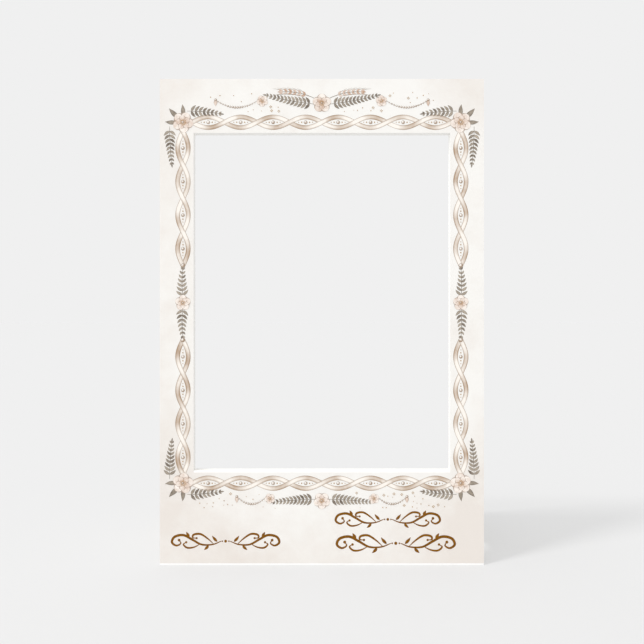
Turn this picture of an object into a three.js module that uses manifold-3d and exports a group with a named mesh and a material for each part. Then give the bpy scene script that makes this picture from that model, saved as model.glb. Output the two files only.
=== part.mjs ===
// Free-standing photo booth frame: a printed foam-board frame with a large window, held up by two
// die-cut corrugated easels that are taped behind its side rails and fold flat for storage.
//
// Millimetres, +Z up. The printed face looks along -Y and +X is to the viewer's right.
// The origin is on the floor, under the middle of the foam core.

import * as THREE from "three";
import { mergeVertices } from "three/addons/utils/BufferGeometryUtils.js";
import Module from "manifold-3d";

const wasm = await Module();
wasm.setup();

const INCH = 25.4;
const QUARTER_TURN = Math.PI / 2;

// The board: foam board with a window, and a printed sheet mounted on its face
const BOARD_WIDTH = 24 * INCH;
const BOARD_HEIGHT = 36 * INCH;
const SIDE_RAIL = 2.5 * INCH; // width of the board at each side of the window
const TOP_RAIL = 4 * INCH;
const BOTTOM_RAIL = 7 * INCH;
const CORE_THICKNESS = 11.5;
const LINER_THICKNESS = 0.5;
const PRINT_THICKNESS = 0.25;
const PRINT_REVEAL = 3.8; // white strip that the print leaves bare at the foot and along the window sill
const BOND_LINE = 0.05; // glue between two layers

// The corrugated board: a fluted paper between two plies, with its flutes upright
const EASEL_THICKNESS = 3;
const PLY_THICKNESS = 0.4;
const FLUTE_PITCH = 6.5;
const FLUTE_PAPER = 0.3;
const FLUTE_STEPS = 8; // straight steps in each flute

// The easels: one sheet of that board each, scored into a glued flange, a wing and a lock tab
const EASEL_HEIGHT = 650;
const EASEL_INSET = 6; // from the board's side edge to the wing's outer face
const FLANGE_MARGIN = 4; // from the window's side edge to the flange
const FLANGE_CORNER = 8;
const WING_FOOT = 230; // how far the wing reaches back along the floor
const WING_TOP = 60; // how far it reaches back at its top
const WING_HEEL_CORNER = 6;
const WING_TOP_CORNER = 12;
const FOLD_CLEARANCE = 0.3; // on each side of a score line, and under the wing when it is folded
const BEND_SEGMENTS = 8; // straight steps in a ply's bend round a score line

// The lock tab: cut out of the wing, it swings onto the flange and holds the wing square
const TAB_PIVOT = 25; // from the wing's score line to the tab's, along the wing
const TAB_HEIGHT = 44;
const TAB_CENTRE = 40; // above the floor
const TAB_CORNER = 2;
const BRACE_ANGLE = THREE.MathUtils.degToRad(45); // between the tab and the flange
const TAB_CLEARANCE = 0.6; // round the tab in its opening
const TONGUE_HEIGHT = 24; // the tab's nose, which drops into a slot in the flange
const TONGUE_DEPTH = 1.5;
const SLOT_CLEARANCE = 1; // above, below and inside the tongue in its slot
const SLOT_LENGTH = 10.5; // along the flange, with room for the tongue to swing out
const THUMB_RADIUS = 9; // finger notch at the free end of the tab's opening

// The mounting tape between each flange and the board
const TAPE_THICKNESS = 1;
const TAPE_WIDTH = 12;
const TAPE_MARGIN = 2.5; // from the flange's long edges
const TAPE_END = 20; // from the flange's ends

// Layers behind each other, from the foam core at y = 0 out to both faces
const CORE_REAR = CORE_THICKNESS / 2;
const REAR_LINER_REAR = CORE_REAR + BOND_LINE + LINER_THICKNESS;
const FRONT_LINER_REAR = -CORE_REAR - BOND_LINE;
const PRINT_REAR = FRONT_LINER_REAR - LINER_THICKNESS - BOND_LINE;
const TAPE_REAR = REAR_LINER_REAR + BOND_LINE + TAPE_THICKNESS;
const FLANGE_REAR = TAPE_REAR + BOND_LINE + EASEL_THICKNESS;

// The fluted paper's wave, which touches both plies through the glue
const FLUTE_SWING = (EASEL_THICKNESS - FLUTE_PAPER) / 2 - PLY_THICKNESS - BOND_LINE;

// The easel's score line, seen from above: the flange lies inside it and the wing stands just outside it
const SCORE_X = BOARD_WIDTH / 2 - EASEL_INSET - EASEL_THICKNESS - FOLD_CLEARANCE;
const FLANGE_INNER_X = BOARD_WIDTH / 2 - SIDE_RAIL + FLANGE_MARGIN;

// The tab's lengths from its score line to its shoulders, which stop short of the flange, and to its tongue
const TAB_SHOULDER = (TAB_PIVOT - FOLD_CLEARANCE) / Math.sin(BRACE_ANGLE);
const TAB_LENGTH = (TAB_PIVOT + TONGUE_DEPTH) / Math.sin(BRACE_ANGLE);
const TONGUE_REACH = TAB_PIVOT / Math.tan(BRACE_ANGLE) - FOLD_CLEARANCE; // from the score line to the slot

const printMaterial = new THREE.MeshStandardMaterial({ color: 0xf7f3ee, roughness: 0.55, metalness: 0 });
const linerMaterial = new THREE.MeshStandardMaterial({ color: 0xfbfaf7, roughness: 0.8, metalness: 0 });
const foamMaterial = new THREE.MeshStandardMaterial({ color: 0xfdfdfc, roughness: 0.9, metalness: 0 });
const plyMaterial = new THREE.MeshStandardMaterial({ color: 0xf1eee8, roughness: 0.85, metalness: 0 });
const flutingMaterial = new THREE.MeshStandardMaterial({ color: 0xb99468, roughness: 0.9, metalness: 0 });
const tapeMaterial = new THREE.MeshStandardMaterial({ color: 0xe4e2dc, roughness: 0.7, metalness: 0 });

// A closed geometry as a solid that can be cut.
function toSolid(geometry) {
  const bare = geometry.clone();
  bare.deleteAttribute("normal");
  bare.deleteAttribute("uv");
  const merged = mergeVertices(bare);
  const vertProperties = merged.attributes.position.array;
  const triVerts = Uint32Array.from(merged.index.array);
  return new wasm.Manifold(new wasm.Mesh({ numProp: 3, vertProperties, triVerts }));
}

function toGeometry(solid) {
  const { vertProperties, triVerts } = solid.getMesh();
  const geometry = new THREE.BufferGeometry();
  geometry.setAttribute("position", new THREE.BufferAttribute(vertProperties, 3));
  geometry.setIndex(new THREE.BufferAttribute(triVerts, 1));
  geometry.computeVertexNormals();
  return geometry;
}

// A closed outline through the given corners, each [x, y, radius], with the corners rounded off.
function roundedOutline(corners) {
  const outline = new THREE.Shape();
  corners.forEach(([x, y, radius = 0], i) => {
    const corner = new THREE.Vector2(x, y);
    const towards = ([nextX, nextY]) => new THREE.Vector2(nextX, nextY).sub(corner).setLength(radius).add(corner);
    const start = towards(corners.at(i - 1));
    const end = towards(corners[(i + 1) % corners.length]);
    if (i === 0) outline.moveTo(start.x, start.y);
    else outline.lineTo(start.x, start.y);
    if (radius > 0) outline.quadraticCurveTo(corner.x, corner.y, end.x, end.y);
  });
  outline.closePath();
  return outline;
}

function rectangle(left, bottom, right, top) {
  return roundedOutline([[left, bottom], [right, bottom], [right, top], [left, top]]);
}

function extrude(outline, depth) {
  return new THREE.ExtrudeGeometry(outline, { depth, bevelEnabled: false, curveSegments: BEND_SEGMENTS });
}

// A piece that stands upright: its geometry's x and y become x and z, and its depth runs from rear towards -Y.
function standing(name, geometry, rear, material) {
  const mesh = new THREE.Mesh(geometry, material);
  mesh.name = name;
  mesh.rotation.x = QUARTER_TURN;
  mesh.position.y = rear;
  return mesh;
}

// The fluted paper inside a corrugated board of this outline. The offset says where on the whole sheet it was cut.
function flutedPaper(outline, offset) {
  const { min, max } = new THREE.Box2().setFromPoints(outline.getPoints());
  const start = min.x - FLUTE_PITCH;
  const flutes = Math.ceil((max.x - start) / FLUTE_PITCH) + 1;
  const middle = Array.from({ length: flutes * FLUTE_STEPS + 1 }, (_, i) => {
    const x = start + (i / FLUTE_STEPS) * FLUTE_PITCH;
    const swing = FLUTE_SWING * Math.sin((2 * Math.PI * (x + offset)) / FLUTE_PITCH);
    return new THREE.Vector2(x, swing - EASEL_THICKNESS / 2);
  });
  const face = (side) => middle.map(({ x, y }) => new THREE.Vector2(x, y + (side * FLUTE_PAPER) / 2));
  const wave = new THREE.Shape([...face(-1), ...face(1).reverse()]);
  const paper = extrude(wave, max.y - min.y + 2 * FLUTE_PITCH);
  paper.rotateX(-QUARTER_TURN);
  paper.translate(0, min.y - FLUTE_PITCH, 0);
  return toGeometry(toSolid(paper).intersect(toSolid(extrude(outline, EASEL_THICKNESS))));
}

// Corrugated board of this outline: the inner ply at the rear, the fluted paper, and the outer ply in front.
function corrugatedBoard(name, outline, rear, offset) {
  const board = new THREE.Group();
  const outerRear = rear - EASEL_THICKNESS + PLY_THICKNESS;
  board.add(
    standing(`${name}_inner_ply`, extrude(outline, PLY_THICKNESS), rear, plyMaterial),
    standing(`${name}_fluting`, flutedPaper(outline, offset), rear, flutingMaterial),
    standing(`${name}_outer_ply`, extrude(outline, PLY_THICKNESS), outerRear, plyMaterial),
  );
  return board;
}

// The outer ply where it bends round a score line: an upright strip, curved about the z axis from -Y onwards.
function bentPly(name, turn, height) {
  const inside = EASEL_THICKNESS - PLY_THICKNESS;
  const section = new THREE.Shape();
  section.absarc(0, 0, EASEL_THICKNESS, -QUARTER_TURN, turn - QUARTER_TURN, false);
  section.absarc(0, 0, inside, turn - QUARTER_TURN, -QUARTER_TURN, true);
  section.closePath();
  const mesh = new THREE.Mesh(extrude(section, height), plyMaterial);
  mesh.name = name;
  return mesh;
}

// One layer of the board, with the window cut out. The reveal trims the layer above the foot and below the sill.
function boardLayer(name, thickness, rear, material, reveal = 0) {
  const outline = rectangle(-BOARD_WIDTH / 2, reveal, BOARD_WIDTH / 2, BOARD_HEIGHT);
  const windowSide = BOARD_WIDTH / 2 - SIDE_RAIL;
  outline.holes.push(rectangle(-windowSide, BOTTOM_RAIL - reveal, windowSide, BOARD_HEIGHT - TOP_RAIL));
  return standing(name, extrude(outline, thickness), rear, material);
}

function buildBoard() {
  const board = new THREE.Group();
  board.add(
    boardLayer("front_print", PRINT_THICKNESS, PRINT_REAR, printMaterial, PRINT_REVEAL),
    boardLayer("front_liner", LINER_THICKNESS, FRONT_LINER_REAR, linerMaterial),
    boardLayer("foam_core", CORE_THICKNESS, CORE_REAR, foamMaterial),
    boardLayer("rear_liner", LINER_THICKNESS, REAR_LINER_REAR, linerMaterial),
  );
  return board;
}

// The part of the easel that is taped to the rail, with the slot that takes the lock tab's tongue.
function buildFlange(name) {
  const outline = roundedOutline([
    [FLANGE_INNER_X, 0, FLANGE_CORNER],
    [SCORE_X, 0],
    [SCORE_X, EASEL_HEIGHT],
    [FLANGE_INNER_X, EASEL_HEIGHT, FLANGE_CORNER],
  ]);
  const slotSide = SCORE_X - TONGUE_REACH + SLOT_CLEARANCE;
  const slotHalfHeight = TONGUE_HEIGHT / 2 + SLOT_CLEARANCE;
  const slotTop = TAB_CENTRE + slotHalfHeight;
  outline.holes.push(rectangle(slotSide - SLOT_LENGTH, TAB_CENTRE - slotHalfHeight, slotSide, slotTop));
  return corrugatedBoard(name, outline, FLANGE_REAR, -SCORE_X);
}

function buildTape(name, left) {
  const outline = rectangle(left, TAPE_END, left + TAPE_WIDTH, EASEL_HEIGHT - TAPE_END);
  return standing(name, extrude(outline, TAPE_THICKNESS), TAPE_REAR, tapeMaterial);
}

// The wing in its hinge's frame: x runs along the wing away from the score line.
function buildWing(name) {
  const outline = roundedOutline([
    [FOLD_CLEARANCE, 0],
    [WING_FOOT, 0, WING_HEEL_CORNER],
    [WING_TOP, EASEL_HEIGHT, WING_TOP_CORNER],
    [FOLD_CLEARANCE, EASEL_HEIGHT],
  ]);
  const halfHeight = TAB_HEIGHT / 2 + TAB_CLEARANCE;
  const hingeEnd = TAB_PIVOT - FOLD_CLEARANCE;
  const freeEnd = TAB_PIVOT + TAB_LENGTH + TAB_CLEARANCE;
  const opening = new THREE.Path();
  opening.moveTo(hingeEnd, TAB_CENTRE - halfHeight);
  opening.lineTo(freeEnd, TAB_CENTRE - halfHeight);
  opening.absarc(freeEnd, TAB_CENTRE, THUMB_RADIUS, -QUARTER_TURN, QUARTER_TURN, false);
  opening.lineTo(freeEnd, TAB_CENTRE + halfHeight);
  opening.lineTo(hingeEnd, TAB_CENTRE + halfHeight);
  opening.closePath();
  outline.holes.push(opening);
  return corrugatedBoard(name, outline, -FOLD_CLEARANCE, 0);
}

// The lock tab in its own hinge's frame: x runs from its score line to its tongue.
function buildLockTab(name) {
  const half = TAB_HEIGHT / 2;
  const tongueHalf = TONGUE_HEIGHT / 2;
  const outline = roundedOutline([
    [FOLD_CLEARANCE, -half],
    [TAB_SHOULDER, -half, TAB_CORNER],
    [TAB_SHOULDER, -tongueHalf],
    [TAB_LENGTH, -tongueHalf],
    [TAB_LENGTH, tongueHalf],
    [TAB_SHOULDER, tongueHalf],
    [TAB_SHOULDER, half, TAB_CORNER],
    [FOLD_CLEARANCE, half],
  ]);
  return corrugatedBoard(name, outline, 0, TAB_PIVOT);
}

// One easel on the viewer's right, set up for use: the wing stands square to the board, braced by its tab.
function buildEasel(side) {
  const easel = new THREE.Group();
  easel.add(
    buildFlange(`${side}_flange`),
    buildTape(`${side}_tape_inner`, FLANGE_INNER_X + TAPE_MARGIN),
    buildTape(`${side}_tape_outer`, SCORE_X - TAPE_MARGIN - TAPE_WIDTH),
  );

  const wingFold = bentPly(`${side}_wing_crease`, QUARTER_TURN, EASEL_HEIGHT);
  wingFold.position.set(SCORE_X + FOLD_CLEARANCE, FLANGE_REAR, 0);
  easel.add(wingFold);

  const wingHinge = new THREE.Group();
  wingHinge.position.set(SCORE_X, FLANGE_REAR, 0);
  wingHinge.rotation.z = QUARTER_TURN;
  wingHinge.add(buildWing(`${side}_wing`));
  easel.add(wingHinge);

  const tabSwing = QUARTER_TURN + BRACE_ANGLE;
  const tabFold = bentPly(`${side}_tab_crease`, tabSwing, TAB_HEIGHT);
  tabFold.position.set(TAB_PIVOT, -FOLD_CLEARANCE, TAB_CENTRE - TAB_HEIGHT / 2);
  wingHinge.add(tabFold);

  const tabHinge = new THREE.Group();
  tabHinge.position.set(TAB_PIVOT, -FOLD_CLEARANCE, TAB_CENTRE);
  tabHinge.rotation.z = tabSwing;
  tabHinge.add(buildLockTab(`${side}_lock_tab`));
  wingHinge.add(tabHinge);
  return easel;
}

const photoBoothFrame = new THREE.Group();
photoBoothFrame.add(buildBoard());

const rightEasel = buildEasel("right");
const leftEasel = buildEasel("left");
leftEasel.scale.x = -1; // the left easel is the right one's mirror image
photoBoothFrame.add(rightEasel, leftEasel);

export default photoBoothFrame;
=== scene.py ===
"""The looks of a free-standing photo booth frame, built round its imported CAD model.

The board is white foam board with a laminated watercolour print on its face. The print carries a generic
border: a running guilloche with corner rosettes, fern fronds, blossoms, beads and gold flourishes. Behind the
board stand two easels of white-lined corrugated board, whose bent plies follow their folds.
"""

import logging
import math
import random
from collections.abc import Callable
from dataclasses import dataclass, field
from enum import Enum

import bmesh
import bpy
from bpy.types import Material, Node, NodeSocket, NodeTree, Object
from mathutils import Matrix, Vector
from mathutils.kdtree import KDTree


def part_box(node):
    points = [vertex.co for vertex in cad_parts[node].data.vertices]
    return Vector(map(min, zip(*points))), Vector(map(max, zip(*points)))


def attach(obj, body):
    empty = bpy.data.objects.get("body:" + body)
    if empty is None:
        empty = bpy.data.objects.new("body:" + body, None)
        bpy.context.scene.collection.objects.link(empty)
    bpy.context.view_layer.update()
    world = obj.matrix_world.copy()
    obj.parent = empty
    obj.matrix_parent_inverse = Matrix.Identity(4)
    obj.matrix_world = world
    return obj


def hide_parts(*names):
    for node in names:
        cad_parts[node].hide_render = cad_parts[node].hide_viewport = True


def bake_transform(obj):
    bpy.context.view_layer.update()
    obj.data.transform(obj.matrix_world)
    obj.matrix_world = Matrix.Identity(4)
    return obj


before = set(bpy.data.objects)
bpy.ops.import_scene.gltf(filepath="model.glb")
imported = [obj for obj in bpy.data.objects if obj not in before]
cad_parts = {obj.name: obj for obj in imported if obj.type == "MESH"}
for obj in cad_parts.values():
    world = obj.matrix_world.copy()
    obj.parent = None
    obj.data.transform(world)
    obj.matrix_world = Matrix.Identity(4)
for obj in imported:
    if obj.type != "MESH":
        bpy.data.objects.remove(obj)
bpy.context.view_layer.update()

LOG = logging.getLogger("photo_booth_frame")
MM = 0.001
SHADER = "Principled BSDF"

Path = Callable[[float], Vector]
Profile = Callable[[float], float]


def linear(hex_colour: str) -> tuple[float, float, float, float]:
    """Turn an sRGB hex colour into Blender's linear colour.

    Args:
        hex_colour: the colour as "#rrggbb".

    Returns:
        Red, green, blue and an alpha of one.
    """
    channels = [int(hex_colour[i:i + 2], 16) / 255 for i in (1, 3, 5)]
    red, green, blue = (c / 12.92 if c <= 0.04045 else ((c + 0.055) / 1.055) ** 2.4 for c in channels)
    return red, green, blue, 1.0


def result(node: Node) -> NodeSocket:
    """Return the first of a node's outputs that its settings leave in use."""
    return next(output for output in node.outputs if output.enabled)


def add_node(
    tree: NodeTree, kind: str, inputs: dict[str | int, object] | None = None, **settings: object,
) -> Node:
    """Add a shader node with its settings and links.

    Args:
        tree: the node tree that gets the node.
        kind: the node's type without its "ShaderNode", such as "Math".
        inputs: input name or index to a value, or to an output or a node that is linked to it.
        settings: the node's own properties.

    Returns:
        The new node.
    """
    node = tree.nodes.new(f"ShaderNode{kind}")
    for name, value in settings.items():
        setattr(node, name, value)
    for socket, value in (inputs or {}).items():
        if isinstance(value, Node):
            tree.links.new(result(value), node.inputs[socket])
        elif isinstance(value, NodeSocket):
            tree.links.new(value, node.inputs[socket])
        else:
            node.inputs[socket].default_value = value
    return node


def add_piece(mesh: bmesh.types.BMesh, name: str, material: Material) -> Object:
    """Make an object at the origin from a finished bmesh.

    Args:
        mesh: the bmesh, which is freed.
        name: the object's name.
        material: its finish.

    Returns:
        The new object.
    """
    data = bpy.data.meshes.new(name)
    mesh.to_mesh(data)
    mesh.free()
    data.materials.append(material)
    piece = bpy.data.objects.new(name, data)
    bpy.context.scene.collection.objects.link(piece)
    return piece


def per_metre(size_mm: float) -> float:
    """Return how many features of this size in millimetres fit in a metre, which is a texture's scale."""
    return 1.0 / (size_mm * MM)


class MixSocket:
    """The colour inputs of a Mix node, which share their names with its other inputs."""

    A = 6
    B = 7


@dataclass(frozen=True)
class Finish:
    """What every finish starts from: a named material with one shader.

    Attributes:
        name: the material's name.
        roughness: the shader's roughness where the finish doesn't vary it.
        ior: the index of refraction.
    """

    name: str
    roughness: float = 0.6
    ior: float = 1.5

    def start(self) -> tuple[Material, NodeTree, NodeSocket]:
        """Make the bare material.

        Returns:
            The material, its node tree and the Object coordinates.
        """
        material = bpy.data.materials.new(self.name)
        material.use_nodes = True
        tree = material.node_tree
        shader = tree.nodes[SHADER]
        shader.inputs["Roughness"].default_value = self.roughness
        shader.inputs["IOR"].default_value = self.ior
        place = add_node(tree, "TexCoord").outputs["Object"]
        return material, tree, place

    @staticmethod
    def paint(tree: NodeTree, amount: Node, first: Node | str, second: str) -> None:
        """Colour the shader between two colours.

        Args:
            tree: the material's node tree.
            amount: 0 for the first colour, and 1 for the second.
            first: the first colour, as a hex colour or as a node.
            second: the second colour.
        """
        colour = add_node(tree, "Mix", {
            "Factor": amount, MixSocket.A: linear(first) if isinstance(first, str) else first,
            MixSocket.B: linear(second),
        }, data_type="RGBA")
        tree.links.new(result(colour), tree.nodes[SHADER].inputs["Base Color"])

    @staticmethod
    def roughen(tree: NodeTree, height: Node, depth_mm: float, strength: float = 1.0) -> None:
        """Give the shader a bump.

        Args:
            tree: the material's node tree.
            height: the height, from 0 to 1.
            depth_mm: what a height of 1 measures.
            strength: how much of the bump shows.
        """
        bump = add_node(tree, "Bump", {"Height": height, "Distance": depth_mm * MM, "Strength": strength})
        tree.links.new(result(bump), tree.nodes[SHADER].inputs["Normal"])

    def vary_sheen(self, tree: NodeTree, grain: Node, swing: float) -> None:
        """Let the roughness follow a grain.

        Args:
            tree: the material's node tree.
            grain: the grain, from 0 to 1.
            swing: how far the roughness goes to either side.
        """
        sheen = add_node(tree, "MapRange", {
            "Value": grain, "To Min": self.roughness - swing, "To Max": self.roughness + swing,
        })
        tree.links.new(result(sheen), tree.nodes[SHADER].inputs["Roughness"])


@dataclass(frozen=True)
class LaminatedPrint(Finish):
    """A watercolour print under a matte laminate: a pale wash that blushes at the corners, with paper tooth.

    Attributes:
        paper: the wash where it is thinnest, beside the window.
        blush: the wash where it has pooled, towards the board's corners.
        centre_mm: the pale middle of the wash, from the board's centre line and above the floor.
        reach_mm: half the width and half the height of the pale middle.
        pool_mm: how wide the pools of the wash are.
        cloud_mm: how wide the smaller clouds in the wash are.
        tooth_mm: the grain of the paper, drawn coarse enough to show.
    """

    roughness: float = 0.52
    paper: str = "#f2f0ec"
    blush: str = "#e6dfd8"
    centre_mm: tuple[float, float] = (15.0, 545.0)
    reach_mm: tuple[float, float] = (300.0, 440.0)
    pool_mm: float = 170.0
    cloud_mm: float = 34.0
    tooth_mm: float = 2.2

    def make(self) -> Material:
        """Build the material.

        Returns:
            The print's material.
        """
        material, tree, place = self.start()
        half_width, half_height = self.reach_mm
        centre_x, centre_z = self.centre_mm
        centred = add_node(tree, "Mapping", {
            "Vector": place,
            "Location": (-centre_x / half_width, 0.0, -centre_z / half_height),
            "Scale": (per_metre(half_width), 0.0, per_metre(half_height)),
        })
        outward = add_node(tree, "VectorMath", {0: centred}, operation="LENGTH")
        edge = add_node(tree, "MapRange", {
            "Value": outward, "From Min": 0.92, "From Max": 1.42, "To Max": 0.75,
        }, interpolation_type="SMOOTHSTEP")
        pools = add_node(tree, "TexNoise", {
            "Vector": place, "Scale": per_metre(self.pool_mm), "Detail": 5.0, "Roughness": 0.55,
            "Distortion": 0.6,
        })
        pooled = add_node(tree, "MapRange", {
            "Value": pools, "From Min": 0.38, "From Max": 0.68, "To Min": -0.1, "To Max": 0.4,
        })
        clouds = add_node(tree, "TexNoise", {
            "Vector": place, "Scale": per_metre(self.cloud_mm), "Detail": 7.0, "Roughness": 0.7,
        })
        clouded = add_node(tree, "MapRange", {
            "Value": clouds, "From Min": 0.3, "From Max": 0.7, "To Min": -0.19, "To Max": 0.21,
        })
        wash = add_node(tree, "Math", {0: edge, 1: pooled}, operation="ADD")
        wash = add_node(tree, "Math", {0: wash, 1: clouded}, operation="ADD", use_clamp=True)
        self.paint(tree, wash, self.paper, self.blush)
        tooth = add_node(tree, "TexNoise", {
            "Vector": place, "Scale": per_metre(self.tooth_mm), "Detail": 3.0, "Roughness": 0.6,
        })
        self.vary_sheen(tree, tooth, swing=0.08)
        self.roughen(tree, tooth, depth_mm=0.12, strength=0.5)
        return material


@dataclass(frozen=True)
class CoatedLiner(Finish):
    """The clay-coated white paper on both faces of foam board: bright, smooth and very slightly mottled.

    Attributes:
        white: the coating where it is thick.
        thin: the coating where the paper shows through.
        mottle_mm: how wide the mottling is.
        fibre_mm: the width of the fibres under the coating, drawn coarse enough to show.
    """

    roughness: float = 0.62
    white: str = "#fbfaf8"
    thin: str = "#f4f2ef"
    mottle_mm: float = 14.0
    fibre_mm: float = 1.6

    def make(self) -> Material:
        """Build the material.

        Returns:
            The liner's material.
        """
        material, tree, place = self.start()
        mottle = add_node(tree, "TexNoise", {
            "Vector": place, "Scale": per_metre(self.mottle_mm), "Detail": 5.0, "Roughness": 0.6,
        })
        amount = add_node(tree, "MapRange", {
            "Value": mottle, "From Min": 0.4, "From Max": 0.8, "To Max": 0.5,
        })
        self.paint(tree, amount, self.white, self.thin)
        fibres = add_node(tree, "TexNoise", {
            "Vector": place, "Scale": per_metre(self.fibre_mm), "Detail": 4.0, "Distortion": 1.2,
        })
        self.vary_sheen(tree, fibres, swing=0.1)
        self.roughen(tree, fibres, depth_mm=0.05, strength=0.5)
        return material


@dataclass(frozen=True)
class CutFoam(Finish):
    """Polystyrene foam cut by a blade: a field of small closed cells with fine drag lines across the cut.

    Attributes:
        wall: the colour of the cell walls.
        hollow_shade: painted shade inside the opened cells, darker than the cell walls.
        cell_mm: the size of a cell, drawn coarse enough to show.
        drag_mm: the spacing of the blade's drag lines.
        drag_length_mm: how long they are through the board.
    """

    roughness: float = 0.85
    wall: str = "#f7f6f3"
    hollow_shade: str = "#e9e7e3"
    cell_mm: float = 1.1
    drag_mm: float = 3.0
    drag_length_mm: float = 25.0

    def make(self) -> Material:
        """Build the material.

        Returns:
            The foam's material.
        """
        material, tree, place = self.start()
        cells = add_node(tree, "TexVoronoi", {"Vector": place, "Scale": per_metre(self.cell_mm)})
        # Painted shade: the colour darkens towards the middle of each opened cell, where the same depth sinks
        # the bump.
        depth = add_node(tree, "MapRange", {"Value": cells, "From Min": 0.1, "From Max": 0.65})
        self.paint(tree, depth, self.hollow_shade, self.wall)
        lines, through = per_metre(self.drag_mm), per_metre(self.drag_length_mm)
        stretched = add_node(tree, "Mapping", {"Vector": place, "Scale": (lines, through, lines)})
        drag = add_node(tree, "TexNoise", {"Vector": stretched, "Scale": 1.0, "Detail": 2.0})
        height = add_node(tree, "Math", {0: depth, 1: drag}, operation="ADD")
        self.roughen(tree, height, depth_mm=0.18, strength=0.6)
        return material


class FluteRun(Enum):
    """Which way a piece of corrugated board crosses its flutes, as a turn about the vertical in degrees."""

    FLANGE = 0.0
    WING = 90.0
    RIGHT_TAB = 45.0
    LEFT_TAB = -45.0


@dataclass(frozen=True)
class WhiteTopPly(Finish):
    """The white-lined paper of corrugated board: dull, flecked, with the flutes showing as faint ribs.

    Attributes:
        run: which way the piece crosses its flutes.
        pitch_mm: the spacing of the flutes.
        white: the paper over a flute.
        hollow_shade: painted shade on the paper between two flutes.
        fleck: the darker fibres in the paper.
        fleck_mm: the size of the flecks.
    """

    roughness: float = 0.78
    run: FluteRun = FluteRun.FLANGE
    pitch_mm: float = 6.5
    white: str = "#f3f0ea"
    hollow_shade: str = "#e9e5dd"
    fleck: str = "#cdbfa9"
    fleck_mm: float = 1.3

    def make(self) -> Material:
        """Build the material.

        Returns:
            The ply's material.
        """
        material, tree, place = self.start()
        turned = add_node(tree, "Mapping", {
            "Vector": place, "Rotation": (0.0, 0.0, -math.radians(self.run.value)),
        })
        across = add_node(tree, "SeparateXYZ", {0: turned})
        phase = add_node(tree, "Math", {
            0: across.outputs["X"], 1: math.tau * per_metre(self.pitch_mm),
        }, operation="MULTIPLY")
        wave = add_node(tree, "Math", {0: phase}, operation="SINE")
        rib = add_node(tree, "MapRange", {"Value": wave, "From Min": -1.0, "From Max": 1.0})
        # Painted shade: the paper between the flutes is coloured darker than over them, following the same
        # wave as the ribs' bump.
        painted_rib_shade = add_node(tree, "Mix", {
            "Factor": rib, MixSocket.A: linear(self.hollow_shade), MixSocket.B: linear(self.white),
        }, data_type="RGBA")
        flecks = add_node(tree, "TexNoise", {
            "Vector": place, "Scale": per_metre(self.fleck_mm), "Detail": 5.0, "Distortion": 2.0,
        })
        flecked = add_node(tree, "MapRange", {
            "Value": flecks, "From Min": 0.58, "From Max": 0.78, "To Max": 0.35,
        })
        self.paint(tree, flecked, painted_rib_shade, self.fleck)
        height = add_node(tree, "Math", {0: flecks, 1: 0.25, 2: rib}, operation="MULTIPLY_ADD")
        self.roughen(tree, height, depth_mm=0.16, strength=0.7)
        return material


@dataclass(frozen=True)
class KraftPaper(Finish):
    """Unbleached kraft paper, as in the fluting of corrugated board: brown, long-fibred and dull.

    Attributes:
        pale: the colour of the pale fibres.
        dark: the colour of the dark fibres.
        fibre_mm: the length of a fibre bundle, which stands upright.
        slimness: how many times longer than wide a fibre bundle is.
    """

    roughness: float = 0.85
    pale: str = "#c29c6c"
    dark: str = "#9a7446"
    fibre_mm: float = 5.0
    slimness: float = 4.0

    def make(self) -> Material:
        """Build the material.

        Returns:
            The fluting's material.
        """
        material, tree, place = self.start()
        upright = add_node(tree, "Mapping", {"Vector": place, "Scale": (self.slimness, self.slimness, 1.0)})
        fibres = add_node(tree, "TexNoise", {
            "Vector": upright, "Scale": per_metre(self.fibre_mm), "Detail": 6.0, "Roughness": 0.7,
        })
        amount = add_node(tree, "MapRange", {"Value": fibres, "From Min": 0.32, "From Max": 0.68})
        self.paint(tree, amount, self.pale, self.dark)
        self.roughen(tree, fibres, depth_mm=0.08)
        return material


@dataclass(frozen=True)
class FoamTape(Finish):
    """Double-sided tape of polyethylene foam: off-white, fine-celled, with a slight gloss from its adhesive.

    Attributes:
        skin: the colour of the foam.
        pore_shade: painted shade in its pores, darker than the foam.
        pore_mm: the size of each of its pores.
    """

    roughness: float = 0.45
    skin: str = "#e6e2da"
    pore_shade: str = "#cfc9bd"
    pore_shade_mm: float = 0.8

    def make(self) -> Material:
        """Build the material.

        Returns:
            The tape's material.
        """
        material, tree, place = self.start()
        pores = add_node(tree, "TexVoronoi", {"Vector": place, "Scale": per_metre(self.pore_shade_mm)})
        # Painted shade: the colour darkens in each pore, where the same pattern sinks the bump.
        amount = add_node(tree, "MapRange", {
            "Value": pores, "From Min": 0.1, "From Max": 0.5, "To Min": 1.0, "To Max": 0.0,
        })
        self.paint(tree, amount, self.skin, self.pore_shade)
        self.roughen(tree, pores, depth_mm=0.1, strength=0.5)
        return material


class InkShape(Enum):
    """How an ink shades its shapes: darker along both edges of a stroke, or round the rim of a dot."""

    STROKE = "stroke"
    DOT = "dot"


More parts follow.
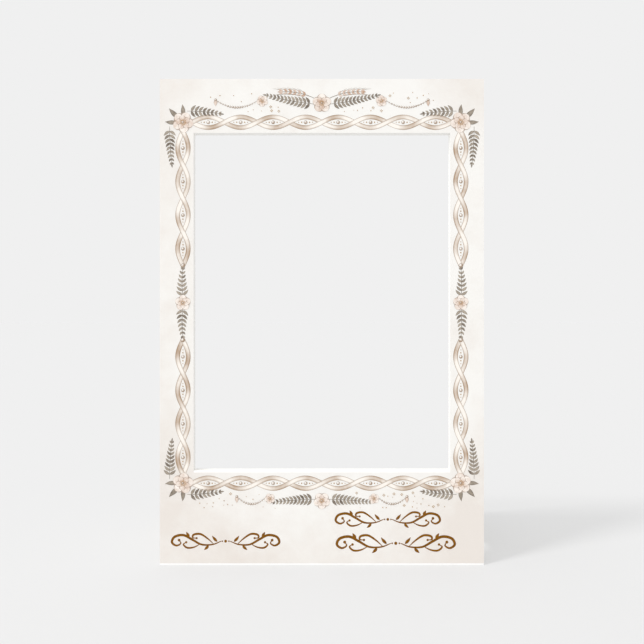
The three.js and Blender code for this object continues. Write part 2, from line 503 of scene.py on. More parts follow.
@dataclass(frozen=True)
class WatercolourInk(Finish):
    """Printed watercolour: thin pigment that clouds inside each shape and dried to a darker line at its edge.

    Attributes:
        thin: the colour where the pigment is thin.
        full: the colour where it is full.
        line: the colour of the dried edge.
        shape: how the shapes are shaded.
        shimmer: how strongly a stroke's middle, or a dot's upper left, catches the light.
        streaks: how many brush streaks run along a stroke.
        cloud_mm: how wide the clouds in the pigment are.
        tooth_mm: the grain of the paper under the ink.
    """

    roughness: float = 0.5
    thin: str = "#e0d6ca"
    full: str = "#a39482"
    line: str = "#857563"
    shape: InkShape = InkShape.STROKE
    shimmer: float = 0.0
    streaks: float = 5.0
    cloud_mm: float = 7.0
    tooth_mm: float = 2.2

    def away_from(self, tree: NodeTree, unwrapped: Node, centre: tuple[float, float]) -> Node:
        """Measure how far a point is from the middle of its shape.

        Args:
            tree: the material's node tree.
            unwrapped: the shape's own UV map.
            centre: the middle, as a share of the shape's length and width.

        Returns:
            The distance, which is 1 at the edge if the middle is in the middle.
        """
        along = 0.0 if self.shape is InkShape.STROKE else 2.0
        centred = add_node(tree, "Mapping", {
            "Vector": unwrapped, "Scale": (along, 2.0, 0.0),
            "Location": (-along * centre[0], -2.0 * centre[1], 0.0),
        })
        return add_node(tree, "VectorMath", {0: centred}, operation="LENGTH")

    def make(self) -> Material:
        """Build the material.

        Returns:
            The ink's material.
        """
        material, tree, place = self.start()
        unwrapped = add_node(tree, "UVMap", uv_map=InkLayer.UV_NAME)
        edge = self.away_from(tree, unwrapped, (0.5, 0.5))
        lit_side = (0.5, 0.5) if self.shape is InkShape.STROKE else (0.34, 0.66)
        from_light = self.away_from(tree, unwrapped, lit_side)
        clouds = add_node(tree, "TexNoise", {
            "Vector": place, "Scale": per_metre(self.cloud_mm), "Detail": 4.0, "Roughness": 0.6,
            "Distortion": 0.5,
        })
        clouded = add_node(tree, "MapRange", {
            "Value": clouds, "From Min": 0.3, "From Max": 0.7, "To Min": -0.3, "To Max": 0.3,
        })
        combed = add_node(tree, "Mapping", {"Vector": unwrapped, "Scale": (1.2, self.streaks, 0.0)})
        brush = add_node(tree, "TexNoise", {"Vector": combed, "Scale": 1.0, "Detail": 2.0})
        brushed = add_node(tree, "MapRange", {
            "Value": brush, "From Min": 0.3, "From Max": 0.7, "To Min": -0.18, "To Max": 0.18,
        })
        light = add_node(tree, "MapRange", {
            "Value": from_light, "To Min": -self.shimmer, "To Max": self.shimmer,
        }, interpolation_type="SMOOTHSTEP")
        tone = add_node(tree, "Attribute", attribute_name=InkLayer.TONE_NAME).outputs["Fac"]
        fullness = add_node(tree, "Math", {0: tone, 1: clouded}, operation="ADD")
        fullness = add_node(tree, "Math", {0: fullness, 1: brushed}, operation="ADD")
        fullness = add_node(tree, "Math", {0: fullness, 1: light}, operation="ADD", use_clamp=True)
        pigment = add_node(tree, "Mix", {
            "Factor": fullness, MixSocket.A: linear(self.thin), MixSocket.B: linear(self.full),
        }, data_type="RGBA")
        dried = add_node(tree, "MapRange", {
            "Value": edge, "From Min": 0.72, "From Max": 0.95, "To Max": 0.75,
        }, interpolation_type="SMOOTHSTEP")
        self.paint(tree, dried, pigment, self.line)
        tooth = add_node(tree, "TexNoise", {
            "Vector": place, "Scale": per_metre(self.tooth_mm), "Detail": 3.0, "Roughness": 0.6,
        })
        self.roughen(tree, tooth, depth_mm=0.12, strength=0.5)
        return material


def polar(angle: float, length: float = 1.0) -> Vector:
    """Return the point at this angle and distance from the origin of a drawing."""
    return Vector((math.cos(angle), math.sin(angle))) * length


def arc_path(start: Vector, heading: float, length: float, bend: float) -> Path:
    """Make a path of even curvature.

    Args:
        start: where it starts.
        heading: the direction that it starts in, in radians.
        length: how long it is.
        bend: how far it turns on the way, in radians.

    Returns:
        A function from 0 to 1 along the path to a point.
    """
    if bend == 0:
        return lambda u: start + polar(heading, length * u)
    radius = length / bend
    centre = start + polar(heading + math.pi / 2, radius)
    return lambda u: centre + polar(heading - math.pi / 2 + bend * u, radius)


def spline_path(points: list[Vector]) -> Path:
    """Make a smooth path through some points.

    Args:
        points: the points, in order.

    Returns:
        A function from 0 to 1 along the path to a point.
    """
    ends = [points[0] * 2 - points[1], *points, points[-1] * 2 - points[-2]]
    spans = len(points) - 1

    def place(u: float) -> Vector:
        """Find a point of the path, on a cubic between the two points that it lies between.

        Args:
            u: how far along the path, from 0 to 1.

        Returns:
            The point.
        """
        span = min(int(max(u, 0.0) * spans), spans - 1)
        t = u * spans - span
        a, b, c, d = ends[span:span + 4]
        return (b * 2 + (c - a) * t + (a * 2 - b * 5 + c * 4 - d) * t**2 + (b * 3 - a - c * 3 + d) * t**3) / 2

    return place


def even(value: float) -> Profile:
    """Return a profile with the same value all along."""
    return lambda u: value


def leaf_profile(width: float, fullest: float = 0.75) -> Profile:
    """Return the half width of a leaf along its length: pointed at both ends, and fullest nearer its base."""
    return lambda u: width / 2 * math.sin(math.pi * min(max(u, 0.0), 1.0) ** fullest)


def petal_profile(width: float) -> Profile:
    """Return the half width of a petal along its length: slim at its base, and broad and round at its end."""
    return lambda u: width / 2 * math.sin(math.pi * u**1.3) ** 0.62


def tapered_profile(width: float, share: float = 0.15) -> Profile:
    """Return the half width of a pen stroke that swells in its middle and thins to this share at its ends."""
    return lambda u: width / 2 * (share + (1 - share) * math.sin(math.pi * min(max(u, 0.0), 1.0)))


class InkLayer:
    """The flat shapes of one ink, drawn in millimetres on the face of the print, x to the right and z up.

    Attributes:
        UV_NAME: the UV map that runs along and across each shape.
        TONE_NAME: the attribute that holds how full the pigment is.
        THICKNESS_MM: how thick the printed skin is.
        STEP_MM: how far each shape lies above the last one.
        STEPS: how many shapes are stacked before the lift starts again.
        TANGENT_STEP: how far back and ahead along a path its direction is read.
        WELD_MM: how near two points of a stroke lie to be one point.
    """

    UV_NAME = "stroke"
    TONE_NAME = "tone"
    THICKNESS_MM = 0.03
    STEP_MM = 0.004
    STEPS = 12
    TANGENT_STEP = 0.002
    WELD_MM = 0.001

    def __init__(self, name: str, finish: WatercolourInk, lift_mm: float) -> None:
        """Start an empty layer.

        Args:
            name: the piece's name.
            finish: the ink.
            lift_mm: how far the layer's lowest shape lies in front of the print.
        """
        self.name = name
        self.finish = finish
        self.lift_mm = lift_mm
        self.mesh = bmesh.new()
        self.mesh.loops.layers.uv.new(self.UV_NAME)
        self.tone = self.mesh.verts.layers.float.new(self.TONE_NAME)
        self.shapes = 0
        self.stacked = 0

    def next_lift(self) -> float:
        """Step up to the next shape, so that shapes that overlap don't lie in one plane.

        Returns:
            The next shape's lift, in millimetres.
        """
        self.shapes += 1
        self.stacked += 1
        return self.lift_mm + self.STEP_MM * (self.stacked % self.STEPS)

    def restack(self) -> None:
        """Start again from the lowest lift, for a group of shapes that lies clear of the last one."""
        self.stacked = 0

    def set_tone(self, verts: list[bmesh.types.BMVert], tone: Profile) -> None:
        """Give a new shape its tone, while its vertices still lie between -1 and 1."""
        for vert in verts:
            vert[self.tone] = tone((vert.co.x + 1) / 2)

    def sweep(
        self, path: Path, half_width: Profile, steps: int, tone: Profile = even(0.5), across: int = 2,
        weave: Profile = even(0.0),
    ) -> None:
        """Draw a stroke along a path.

        Args:
            path: where the stroke runs, from 0 to 1.
            half_width: its half width along the way.
            steps: how many steps it has along the path.
            tone: how full its pigment is along the way.
            across: how many steps it has across.
            weave: how far it rises above its lift along the way, in millimetres.
        """
        lift = self.next_lift()
        grid = bmesh.ops.create_grid(
            self.mesh, x_segments=steps, y_segments=across, size=1.0, calc_uvs=True)["verts"]
        self.set_tone(grid, tone)
        for vert in grid:
            u = (vert.co.x + 1) / 2
            ahead = path(u + self.TANGENT_STEP) - path(u - self.TANGENT_STEP)
            side = Vector((-ahead.y, ahead.x)).normalized() * (vert.co.y * half_width(u))
            x, z = path(u) + side
            vert.co = Vector((x, -lift - weave(u), z)) * MM
        bmesh.ops.remove_doubles(self.mesh, verts=grid, dist=self.WELD_MM * MM)

    def dot(self, centre: Vector, radius: float, tone: float = 0.5, segments: int = 14) -> None:
        """Draw a round dot.

        Args:
            centre: where it is.
            radius: its radius.
            tone: how full its pigment is.
            segments: how many sides it has.
        """
        lift = self.next_lift()
        ring = bmesh.ops.create_circle(
            self.mesh, cap_ends=True, segments=segments, radius=1.0, calc_uvs=True)["verts"]
        self.set_tone(ring, even(tone))
        for vert in ring:
            x, z = centre + Vector(vert.co.xy) * radius
            vert.co = Vector((x, -lift, z)) * MM

    def leaf(
        self, base: Vector, heading: float, length: float, width: float, bend: float, tone: float,
        steps: int = 8,
    ) -> None:
        """Draw one leaf, from its base in the direction of its heading."""
        self.sweep(arc_path(base, heading - bend / 2, length, bend), leaf_profile(width), steps, even(tone))

    def lay(self, face_y: float) -> None:
        """Finish the layer as a thin printed skin, which rides on the board.

        Args:
            face_y: where the face of the print is, in metres.
        """
        self.mesh.normal_update()
        turned = [face for face in self.mesh.faces if face.normal.y > 0]
        bmesh.ops.reverse_faces(self.mesh, faces=turned)
        bmesh.ops.translate(self.mesh, verts=self.mesh.verts, vec=(0.0, face_y, 0.0))
        piece = add_piece(self.mesh, self.name, self.finish.make())
        skin = piece.modifiers.new("ink_thickness", "SOLIDIFY")
        skin.thickness = self.THICKNESS_MM * MM
        skin.offset = 1.0
        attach(piece, "board")
        LOG.info("%s: %d shapes", self.name, self.shapes)


def dress_node(node: str, material: Material) -> None:
    """Give a CAD node its finish.

    Args:
        node: the node's name.
        material: its material.
    """
    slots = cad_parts[node].data.materials
    slots.clear()
    slots.append(material)
    LOG.info("%s: %s", node, material.name)


@dataclass
class Board:
    """The foam board and the print on its face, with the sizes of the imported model.

    Attributes:
        left: the board's left edge, in millimetres.
        right: its right edge.
        foot: its lower edge.
        top: its upper edge.
        face_y: the face of the print, in metres.
    """

    left: float = field(init=False)
    right: float = field(init=False)
    foot: float = field(init=False)
    top: float = field(init=False)
    face_y: float = field(init=False)

    def __post_init__(self) -> None:
        """Read the board's edges from its front liner, and the face of the print."""
        low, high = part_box("front_liner")
        self.left, self.foot = low.x / MM, low.z / MM
        self.right, self.top = high.x / MM, high.z / MM
        self.face_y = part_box("front_print")[0].y

    def dress(self) -> None:
        """Give each layer of the board its finish."""
        liner = CoatedLiner("clay_coated_liner").make()
        finishes = {
            "front_print": LaminatedPrint("matte_laminated_print").make(),
            "front_liner": liner,
            "foam_core": CutFoam("cut_polystyrene_foam").make(),
            "rear_liner": liner,
        }
        for node, material in finishes.items():
            dress_node(node, material)


@dataclass
class PrintedBorder:
    """The border printed round the window, in millimetres: bands, rosettes, fronds, festoons and flourishes.

    Attributes:
        board: the board that it is printed on.
        window_right: the window's right edge, as the print is cut. Its left edge is the mirror image.
        window_sill: the window's lower edge.
        window_head: the window's upper edge.
        band_inset: from the window's edge to the middle of the guilloche.
        band_swing: how far each strand swings to either side.
        band_wave: the length of one wave of a strand, roughly, before whole waves are fitted in.
        band_break: half the gap in the middle of a side band, where its medallion sits.
        strand_width: the width of a strand.
        strand_rise: how far a strand rises where it passes over the other one.
        eye_bead: the radius of the bead in each eye of the guilloche.
        eye_dots: where the gilt dots beside that bead lie along the band, and their radius.
        rosette_radius: the radius of a corner rosette.
        leaflet_gap: from one pair of a frond's leaflets to the next.
        grain_gap: from one pair of an ear's grains to the next.
        crest_rise: from the upper band to the middle of the crest.
        swag_drop: from the lower band to the middle of the swags.
        dot_gap: how far the scattered dots stay from other shapes.
        flourishes: the middle and the width of each pen flourish.
        seed: what the scatter of tones and dots starts from.
    """

    board: Board
    window_right: float = 241.3
    window_sill: float = 174.0
    window_head: float = 812.8
    band_inset: float = 20.0
    band_swing: float = 10.0
    band_wave: float = 122.0
    band_break: float = 70.0
    strand_width: float = 8.6
    strand_rise: float = 0.03
    eye_bead: float = 3.3
    eye_dots: tuple[tuple[float, float], ...] = ((-13.0, 0.8), (-7.5, 1.15), (7.5, 1.15), (13.0, 0.8))
    rosette_radius: float = 20.0
    leaflet_gap: float = 7.5
    grain_gap: float = 7.0
    crest_rise: float = 36.0
    swag_drop: float = 33.0
    dot_gap: float = 6.5
    flourishes: tuple[tuple[float, float, float], ...] = ((-181, 45, 206), (124, 86, 200), (139, 41, 226))
    seed: int = 7

    def __post_init__(self) -> None:
        """Start one layer for each ink, from the lowest to the highest."""
        self.random = random.Random(self.seed)
        satin = WatercolourInk("champagne_satin_ink", thin="#f8f2ea", full="#ae9277", line="#8d7660",
                               shimmer=0.2, cloud_mm=40.0)
        frond = WatercolourInk("taupe_leaf_ink", thin="#b5a999", full="#63574a", line="#564b40")
        stem = WatercolourInk("pencil_stem_ink", thin="#9c8e7d", full="#5f5344", line="#5f5344")
        petal = WatercolourInk("blush_petal_ink", thin="#f7efe7", full="#c09a7e", line="#866a53",
                               streaks=9.0, cloud_mm=12.0)
        bead = WatercolourInk("pearl_bead_ink", thin="#fbf7f2", full="#a68d75", line="#75614e",
                              shape=InkShape.DOT, shimmer=0.5)
        gilt = WatercolourInk("gilt_dot_ink", thin="#c9a468", full="#94692a", line="#7f5c26",
                              shape=InkShape.DOT)
        script = WatercolourInk("gold_brown_script_ink", ior=1.25, thin="#966208", full="#694002",
                                line="#6b4203", streaks=3.0)
        self.satin = InkLayer("border_satin_bands", satin, lift_mm=0.02)
        self.frond = InkLayer("border_fronds", frond, lift_mm=0.14)
        self.stem = InkLayer("border_stems", stem, lift_mm=0.19)
        self.petal = InkLayer("border_blossoms", petal, lift_mm=0.24)
        self.bead = InkLayer("border_beads", bead, lift_mm=0.29)
        self.gilt = InkLayer("border_gilt_dots", gilt, lift_mm=0.34)
        self.script = InkLayer("caption_flourishes", script, lift_mm=0.02)

    @property
    def layers(self) -> list[InkLayer]:
        """Return every layer, from the lowest to the highest."""
        return [self.satin, self.frond, self.stem, self.petal, self.bead, self.gilt, self.script]

    def guilloche(self, start: Vector, end: Vector) -> None:
        """Draw two strands that cross each other from start to end, with a bead in each eye.

        Args:
            start: the middle of the band at one end.
            end: the middle of the band at the other end.
        """
        along = end - start
        waves = round(along.length / self.band_wave * 2) / 2
        across = Vector((-along.y, along.x)).normalized() * self.band_swing
        for sign in (1, -1):
            def strand(u: float, sign: int = sign) -> Vector:
                """Return where the strand is at u."""
                return start + along * u + across * (sign * math.sin(math.tau * waves * u))

            def over_and_under(u: float, sign: int = sign) -> float:
                """Return how far the strand rises, so that it passes over and under the other by turns."""
                return self.strand_rise * sign * math.cos(math.tau * waves * u)

            def sheen(u: float, sign: int = sign) -> float:
                """Return the satin's tone, pale where the strand turns over and deep where it dips under."""
                return 0.42 - 0.34 * math.cos(math.tau * waves * 2 * u + sign * 0.9)

            self.satin.sweep(strand, even(self.strand_width / 2), steps=int(waves * 36), tone=sheen, across=6,
                             weave=over_and_under)
        for i in range(round(waves * 2)):
            eye = start + along * ((i + 0.5) / (waves * 2))
            self.bead.dot(eye, self.eye_bead, tone=0.45, segments=20)
            for offset, radius in self.eye_dots:
                self.gilt.dot(eye + along.normalized() * offset, radius, segments=10)

    def blossom(self, centre: Vector, radius: float, turn: float = 0.0, petals: int = 5) -> None:
        """Draw an open blossom.

        Args:
            centre: where it is.
            radius: how far its petals reach.
            turn: how far it is turned, in radians.
            petals: how many petals each of its two rings has.
        """
        step = math.tau / petals
        hub = radius * 0.06
        self.petal.restack()
        for ring, (reach, width, pale) in enumerate(((1.0, 0.95, 0.16), (0.64, 0.58, 0.34))):
            for i in range(petals):
                heading = turn + step * (i + ring / 2)
                length = radius * reach * 0.94
                path = arc_path(centre + polar(heading, hub), heading, length, bend=0.02)
                base = pale + self.random.uniform(-0.08, 0.1)
                self.petal.sweep(path, petal_profile(radius * width), steps=14,
                                 tone=lambda u, base=base: base + 0.62 * (1 - u) ** 2, across=8)
        for i in range(petals * 3):
            reach = radius * (0.2 + 0.07 * (i % 2))
            self.gilt.dot(centre + polar(turn + step * i / 3, reach), radius * 0.042, segments=8)
        self.bead.dot(centre, radius * 0.13, tone=0.75)

    def frond_spray(self, base: Vector, heading: float, length: float, bend: float) -> None:
        """Draw a fern frond: a bent stem with pairs of narrow leaflets that shorten towards its tip.

        Args:
            base: where its stem starts.
            heading: the direction that the stem starts in, in radians.
            length: the stem's length.
            bend: how far the stem turns, in radians.
        """
        stem = arc_path(base, heading, length, bend)
        self.stem.sweep(stem, tapered_profile(width=1.2, share=0.35), steps=24, tone=even(0.6))
        leaflets = max(int(length / self.leaflet_gap), 4)
        for i in range(leaflets):
            u = 0.12 + 0.82 * i / (leaflets - 1)
            size = 5.0 + 10.5 * (1 - u) ** 0.8
            for sign in (1, -1):
                leaflet_heading = heading + bend * u + sign * (0.95 - 0.3 * u)
                width = 1.6 + size * 0.25
                tone = 0.5 + self.random.uniform(-0.35, 0.35)
                self.frond.leaf(stem(u), leaflet_heading, size, width, bend=-sign * 0.55, tone=tone)
        self.frond.leaf(stem(0.97), heading + bend, length=8.0, width=2.8, bend=0.1, tone=0.6)

    def wheat_ear(self, base: Vector, heading: float, length: float, bend: float) -> None:
        """Draw an ear of wheat: a bent stalk with two rows of grains, each with its awn.

        Args:
            base: where its stalk starts.
            heading: the direction that the stalk starts in, in radians.
            length: the stalk's length.
            bend: how far the stalk turns, in radians.
        """
        stalk = arc_path(base, heading, length, bend)
        self.stem.sweep(stalk, tapered_profile(width=1.1, share=0.5), steps=20, tone=even(0.45))
        ear_share = 0.62
        grains = max(int(length * ear_share / self.grain_gap), 4)
        for i in range(grains):
            u = 0.36 + ear_share * i / (grains - 1)
            for sign in (1, -1):
                direction = heading + bend * u + sign * 0.55
                tip = stalk(u) + polar(direction, length=8.0)
                tone = 0.7 + self.random.uniform(-0.25, 0.25)
                self.petal.leaf(stalk(u), direction, length=9.0, width=3.7, bend=-sign * 0.7, tone=tone)
                awn = arc_path(tip, direction - sign * 0.25, length=12.0, bend=-sign * 0.25)
                self.stem.sweep(awn, lambda u: 0.3 * (1 - 0.7 * u), steps=6, tone=even(0.15))
        self.petal.leaf(stalk(0.98), heading + bend, length=9.5, width=3.7, bend=0.05, tone=0.8)

    def festoon(self, start: Vector, end: Vector, sag: float, beads: int) -> None:
        """Draw a string of beads that hangs between two points, with a drop at its far end.

        Args:
            start: one end.
            end: the far end.
            sag: how far its middle hangs below its ends.
            beads: how many beads are on it.
        """
        def string(u: float) -> Vector:
            """Return where the string is at u."""
            return start.lerp(end, u) - Vector((0.0, sag * 4 * u * (1 - u)))

        self.stem.sweep(string, even(0.28), steps=30, tone=even(0.3))
        for i in range(1, beads):
            u = i / beads
            swell = 1 - abs(2 * u - 1)
            self.bead.dot(string(u), 1.1 + 1.2 * swell, tone=0.45, segments=14)
        self.petal.leaf(end, -math.pi / 2, length=12.0, width=6.5, bend=0.02, tone=0.6)
        self.bead.dot(end, radius=2.6, tone=0.5)

    def corner(self, centre: Vector, outward: Vector) -> None:
        """Draw a corner rosette with fronds along both bands.

        Args:
            centre: the rosette's centre.
            outward: towards the board's corner, as signs of x and z.
        """
        heading = math.atan2(outward.y, outward.x)
        handed = outward.x * outward.y
        level = math.pi if outward.x > 0 else 0.0
        upright = -outward.y * math.pi / 2
        along_band = centre + Vector((-8 * outward.x, 21 * outward.y))
        along_side = centre + Vector((25 * outward.x, -8 * outward.y))
        self.frond_spray(along_band, level, length=64.0, bend=0.16 * handed)
        self.frond_spray(along_side, upright, length=72.0, bend=-0.12 * handed)
        under_petals = 12.0
        for turn in (1, -1):
            splayed = heading + turn * 0.75
            base = centre + polar(splayed, under_petals)
            self.frond.leaf(base, splayed, length=22.0, width=8.0, bend=-turn * 0.4, tone=0.45)
        base = centre + polar(heading, under_petals)
        self.frond.leaf(base, heading, length=25.0, width=9.0, bend=0.2 * handed, tone=0.55)
        self.blossom(centre, self.rosette_radius, turn=heading)

    def inked(self) -> KDTree:
        """Gather what is drawn so far.

        Returns:
            Every point of the shapes, in metres, ready to be searched.
        """
        points = [vert.co for layer in self.layers for vert in layer.mesh.verts]
        tree = KDTree(len(points))
        for i, point in enumerate(points):
            tree.insert(point, i)
        tree.balance()
        return tree

    def sprinkle(self, low: Vector, high: Vector, count: int) -> None:
        """Scatter gilt dots and four-dot clusters over a rectangle, clear of each other and of the rest.

        Args:
            low: its lower left corner.
            high: its upper right corner.
            count: how many spots are tried.
        """
        inked = self.inked()
        spots: list[Vector] = []
        for _ in range(count):
            spot = Vector((self.random.uniform(low.x, high.x), self.random.uniform(low.y, high.y)))
            gap = inked.find(Vector((spot.x, 0.0, spot.y)) * MM)[2] / MM
            if min([gap, *((spot - other).length for other in spots)]) < self.dot_gap:
                continue
            spots.append(spot)
            if len(spots) % 4:
                radius = self.random.uniform(0.6, 1.1)
                self.gilt.dot(spot, radius, tone=self.random.uniform(0.2, 0.7), segments=8)
                continue
            for quarter in range(4):
                self.gilt.dot(spot + polar(quarter * math.pi / 2, 1.7), radius=0.85, tone=0.45, segments=8)

    def flourish(self, centre: Vector, width: float) -> None:
        """Draw a symmetrical pen flourish on the bottom rail.

        Args:
            centre: its middle.
            width: how wide it is.
        """
        drawn_width = 200
        unit = width / drawn_width
        for side in (1, -1):
            def at(x: float, z: float, side: int = side) -> Vector:
                """Return a point of the right half, or its mirror image."""
                return centre + Vector((side * x, z)) * unit

            swash = [at(8, 0), at(24, -6), at(44, -6), at(61, 3), at(77, 11), at(93, 8), at(98, -2),
                     at(90, -8), at(82, -4), at(85, 2)]
            self.script.sweep(spline_path(swash), tapered_profile(4.6 * unit, 0.3), steps=90, tone=even(0.6))
            over = [at(22, -5), at(33, 5), at(46, 13), at(58, 12), at(60, 6.5), at(53, 5.5)]
            self.script.sweep(spline_path(over), tapered_profile(3.9 * unit, 0.25), steps=55, tone=even(0.5))
            under = [at(46, -5), at(58, -11), at(70, -12), at(77, -6), at(72, -2)]
            self.script.sweep(spline_path(under), tapered_profile(3.4 * unit, 0.25), steps=45, tone=even(0.5))
            for x, z, heading, length in ((15, -1, 0.85, 15), (31, -8, -0.75, 12), (66, 8, 1.0, 11)):
                turned = heading if side > 0 else math.pi - heading
                self.script.leaf(at(x, z), turned, length * unit, 5.0 * unit, bend=side * 0.3, tone=0.55)
            for curl, radius in ((swash, 2.5), (over, 2.0), (under, 2.1)):
                self.script.dot(curl[-1], radius * unit, tone=0.55)
        for x, radius in ((0.0, 2.6), (-6.0, 1.4), (6.0, 1.4)):
            self.script.dot(centre + Vector((x, 0.0)) * unit, radius * unit, tone=0.6)

    def crest(self, z: float) -> None:
        """Draw the crest above the window: blossoms, fronds and ears of wheat, with strings of beads.

        Args:
            z: the height of its middle.
        """
        for side in (1, -1):
            out = 0.0 if side > 0 else math.pi
            self.wheat_ear(Vector((side * 8, z + 6)), out + side * 0.5, length=70.0, bend=-side * 0.55)
            self.frond_spray(Vector((side * 12, z - 2)), out + side * 0.1, length=96.0, bend=side * 0.16)
            self.festoon(Vector((side * 122, z + 4)), Vector((side * 200, z + 6)), sag=13.0, beads=17)
            self.blossom(Vector((side * 112, z + 4)), radius=11.0, turn=0.4 * side)
        self.blossom(Vector((0, z)), radius=18.0, turn=math.pi / 2)

    def swags(self, z: float) -> None:
        """Draw the swags below the window: blossoms and fronds, with strings of beads.

        Args:
            z: the height of their middle.
        """
        for side in (1, -1):
            out = 0.0 if side > 0 else math.pi
            self.frond_spray(Vector((side * 10, z + 3)), out - side * 0.02, length=84.0, bend=-side * 0.1)
            self.festoon(Vector((side * 104, z + 8)), Vector((side * 160, z + 8)), sag=14.0, beads=13)
            self.blossom(Vector((side * 98, z + 4)), radius=10.0, turn=0.5 * side)
        self.blossom(Vector((0, z)), radius=16.0, turn=-math.pi / 2)

    def side_medallion(self, centre: Vector) -> None:
        """Draw the blossom between two fronds in the middle of a side band.

        Args:
            centre: the blossom's centre.
        """
        for rise in (math.pi / 2, -math.pi / 2):
            lean = math.copysign(0.12, centre.x * rise)
            self.frond_spray(centre + polar(rise, 8.0), rise - lean, length=58.0, bend=lean * 2)
        self.blossom(centre, radius=15.0, turn=math.pi / 2)

    def draw(self) -> None:
        """Draw the whole border, each half the mirror image of the other apart from its scattered dots."""
        side_x = self.window_right + self.band_inset
        head_z = self.window_head + self.band_inset
        sill_z = self.window_sill - self.band_inset
        middle_z = (head_z + sill_z) / 2
        under_rosette = 3.0
        clear = self.rosette_radius - under_rosette
        for side in (1, -1):
            x = side * side_x
            self.guilloche(Vector((x, sill_z + clear)), Vector((x, middle_z - self.band_break)))
            self.guilloche(Vector((x, head_z - clear)), Vector((x, middle_z + self.band_break)))
            for end_z in (middle_z - self.band_break, middle_z + self.band_break):
                self.bead.dot(Vector((x, end_z)), radius=4.0, tone=0.5, segments=20)
            self.side_medallion(Vector((x, middle_z)))
            self.corner(Vector((x, head_z)), Vector((side, 1)))
            self.corner(Vector((x, sill_z)), Vector((side, -1)))
        for z in (head_z, sill_z):
            self.guilloche(Vector((clear - side_x, z)), Vector((side_x - clear, z)))
        self.crest(head_z + self.crest_rise)
        self.swags(sill_z - self.swag_drop)
        self.sprinkle(low=Vector((-210, head_z + 20)), high=Vector((210, head_z + 56)), count=160)
        self.sprinkle(low=Vector((-235, sill_z - 47)), high=Vector((235, sill_z - 18)), count=200)
        for x, z, width in self.flourishes:
            self.flourish(Vector((x, z)), width)

    def build(self) -> None:
        """Draw the border and lay every ink on the print."""
        self.draw()
        for layer in self.layers:
            layer.lay(self.board.face_y)


class Side(Enum):
    """The viewer's left or right, with its sign along x."""

    LEFT = -1
    RIGHT = 1

    @property
    def word(self) -> str:
        """Return the side's name, as the CAD nodes start with it."""
        return self.name.lower()


@dataclass
class Easel:
    """One corrugated easel: its flange, wing and lock tab, and the plies that bend at its folds.

    Attributes:
        side: which side of the board it stands behind.
        weld_mm: how near two corners of a crease's loose triangles lie to be one corner.
    """

    side: Side
    weld_mm: float = 0.01

    def dress(self) -> None:
        """Give each layer of the easel its finish."""
        word = self.side.word
        tab_run = FluteRun.RIGHT_TAB if self.side is Side.RIGHT else FluteRun.LEFT_TAB
        kraft = KraftPaper(f"{word}_kraft_fluting").make()
        tape = FoamTape(f"{word}_foam_tape").make()
        for piece, run in (("flange", FluteRun.FLANGE), ("wing", FluteRun.WING), ("lock_tab", tab_run)):
            ply = WhiteTopPly(f"{word}_{piece}_white_top_ply", run=run).make()
            dress_node(f"{word}_{piece}_inner_ply", ply)
            dress_node(f"{word}_{piece}_outer_ply", ply)
            dress_node(f"{word}_{piece}_fluting", kraft)
        for strip in ("inner", "outer"):
            dress_node(f"{word}_tape_{strip}", tape)

    def bent_ply(self, name: str, material: Material) -> Object:
        """Copy a crease node as a new piece that can bend.

        Args:
            name: the crease's name, without its side.
            material: its finish.

        Returns:
            The piece, which replaces the node.
        """
        node = f"{self.side.word}_{name}"
        mesh = bmesh.new()
        mesh.from_mesh(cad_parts[node].data)
        bmesh.ops.remove_doubles(mesh, verts=mesh.verts, dist=self.weld_mm * MM)
        piece = add_piece(mesh, f"{node}_bend", material)
        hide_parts(node)
        LOG.info("%s: bends with its fold", piece.name)
        return piece

    def bend(self) -> None:
        """Make the plies that bend, from the flange to the wing and from the wing to the lock tab."""
        word = self.side.word
        ply = WhiteTopPly(f"{word}_bent_white_top_ply", run=FluteRun.WING).make()
        wing_ply = self.bent_ply("wing_crease", ply)
        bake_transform(wing_ply)
        tab_ply = self.bent_ply("tab_crease", ply)
        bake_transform(tab_ply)

    def build(self) -> None:
        """Dress the easel and make the plies that bend."""
        self.dress()
        self.bend()


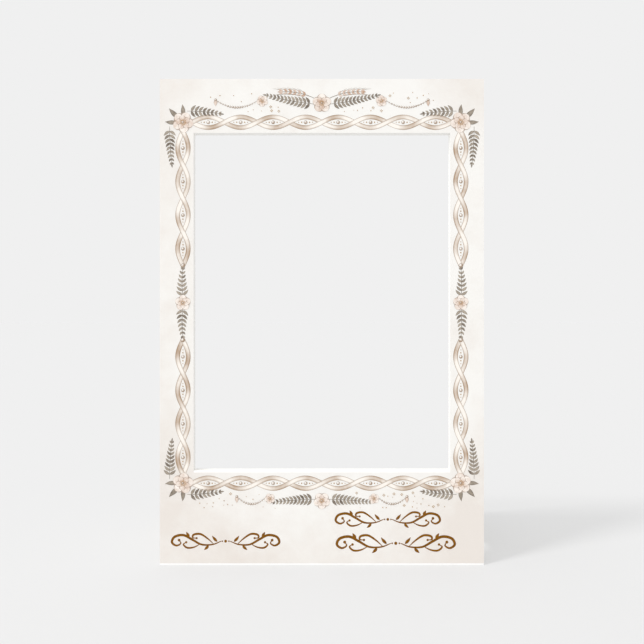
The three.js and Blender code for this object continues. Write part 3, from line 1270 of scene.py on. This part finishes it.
@dataclass
class Studio:
    """The camera, a plain pale floor and soft light, matched to the photograph.

    Attributes:
        board: the board that the camera faces.
        photo_side_px: the photograph's width and height.
        board_px: the board's left, top, right and lower edges in the photograph.
        distance_mm: from the camera to the face of the print, from how much of the window's reveals shows.
        sensor_mm: the camera's sensor width.
        backdrop: the colour of the backdrop and of the lit floor.
        floor_albedo: how much light the floor returns. A glow of its own makes up the rest of its brightness.
        sky: the mean strength of the soft light from all round.
        sky_tilt: how much stronger it is on its bright side, and weaker on the other.
        sky_from: the direction of its bright side.
        sun: the strength of the key light.
        sun_angle: the key light's apparent size, in degrees, which softens the shadow.
        sun_heading: where the shadow falls, in degrees from +X towards +Y.
        sun_elevation: how high the key light stands, in degrees.
        floor_size_m: the width and depth of the floor, whose far edge lies at the horizon.
    """

    board: Board
    photo_side_px: float = 644.0
    board_px: tuple[float, float, float, float] = (159.75, 79.0, 484.0, 565.0)
    distance_mm: float = 940.0
    sensor_mm: float = 36.0
    backdrop: str = "#f0f0f0"
    floor_albedo: float = 0.42
    sky: float = 1.0
    sky_tilt: float = 0.3
    sky_from: tuple[float, float, float] = (-0.8, -0.6, 0.0)
    sun: float = 1.1
    sun_angle: float = 9.0
    sun_heading: float = 25.0
    sun_elevation: float = 53.0
    floor_size_m: float = 800.0

    def camera(self) -> None:
        """Set the camera square to the board, so that the board lies where it lies in the photograph."""
        left, top, right, low = self.board_px
        across = (self.board.right - self.board.left) / (right - left)
        upright = (self.board.top - self.board.foot) / (low - top)
        mm_per_px = (across + upright) / 2
        data = bpy.data.cameras.new("photo_camera")
        data.sensor_width = self.sensor_mm
        data.lens = self.sensor_mm * self.distance_mm / (mm_per_px * self.photo_side_px)
        data.clip_end = self.floor_size_m * 2
        centre = self.photo_side_px / 2
        x = (centre - (left + right) / 2) * mm_per_px
        z = (self.board.top + self.board.foot) / 2 - (centre - (top + low) / 2) * mm_per_px
        camera = bpy.data.objects.new("photo_camera", data)
        camera.location = Vector((x * MM, self.board.face_y - self.distance_mm * MM, z * MM))
        camera.rotation_euler = (math.pi / 2, 0.0, 0.0)
        bpy.context.scene.collection.objects.link(camera)
        bpy.context.scene.camera = camera

    def light(self) -> None:
        """Light the scene: a soft sky that is brighter to the left, and a key light from the front left."""
        scene = bpy.context.scene
        scene.view_settings.view_transform = "Standard"
        scene.world = bpy.data.worlds.new("studio_sky")
        scene.world.use_nodes = True
        tree = scene.world.node_tree
        tree.nodes.clear()
        direction = add_node(tree, "TexCoord").outputs["Generated"]
        leftward = add_node(tree, "VectorMath", {0: direction, 1: self.sky_from}, operation="DOT_PRODUCT")
        strength = add_node(tree, "MapRange", {
            "Value": leftward, "From Min": -1.0, "From Max": 1.0,
            "To Min": self.sky - self.sky_tilt, "To Max": self.sky + self.sky_tilt,
        })
        glow = add_node(tree, "Background", {"Color": (1.0, 1.0, 1.0, 1.0), "Strength": strength})
        seen = add_node(tree, "Background", {"Color": linear(self.backdrop), "Strength": 1.0})
        ray = add_node(tree, "LightPath")
        both = add_node(tree, "MixShader", {0: ray.outputs["Is Camera Ray"], 1: glow, 2: seen})
        add_node(tree, "OutputWorld", {"Surface": both})
        data = bpy.data.lights.new("key_light", "SUN")
        data.energy = self.sun
        data.angle = math.radians(self.sun_angle)
        light = bpy.data.objects.new("key_light", data)
        heading, elevation = math.radians(self.sun_heading), math.radians(self.sun_elevation)
        travel = Vector((*polar(heading, math.cos(elevation)), -math.sin(elevation)))
        light.rotation_euler = travel.to_track_quat("-Z", "Y").to_euler()
        scene.collection.objects.link(light)

    def floor(self) -> None:
        """Lay the floor: as bright as the backdrop where it is lit, so that only the shadow shows."""
        material = bpy.data.materials.new("pale_studio_floor")
        material.use_nodes = True
        shader = material.node_tree.nodes[SHADER]
        shader.inputs["Base Color"].default_value = (*[self.floor_albedo] * 3, 1.0)
        shader.inputs["Roughness"].default_value = 1.0
        shader.inputs["Specular IOR Level"].default_value = 0.0
        daylight = self.sky + self.sun * math.sin(math.radians(self.sun_elevation)) / math.pi
        own_glow = linear(self.backdrop)[0] - self.floor_albedo * daylight
        shader.inputs["Emission Color"].default_value = (1.0, 1.0, 1.0, 1.0)
        shader.inputs["Emission Strength"].default_value = own_glow
        mesh = bmesh.new()
        bmesh.ops.create_grid(mesh, x_segments=1, y_segments=1, size=self.floor_size_m / 2)
        floor = add_piece(mesh, "studio_floor", material)

    def build(self) -> None:
        """Set up the camera, the light and the floor."""
        self.camera()
        self.light()
        self.floor()


def main() -> None:
    """Build and dress every sub-assembly."""
    logging.basicConfig(level=logging.INFO, format="%(name)s: %(message)s")
    board = Board()
    Studio(board).build()
    board.dress()
    PrintedBorder(board).build()
    for side in Side:
        Easel(side).build()


if __name__ == "__main__":
    main()
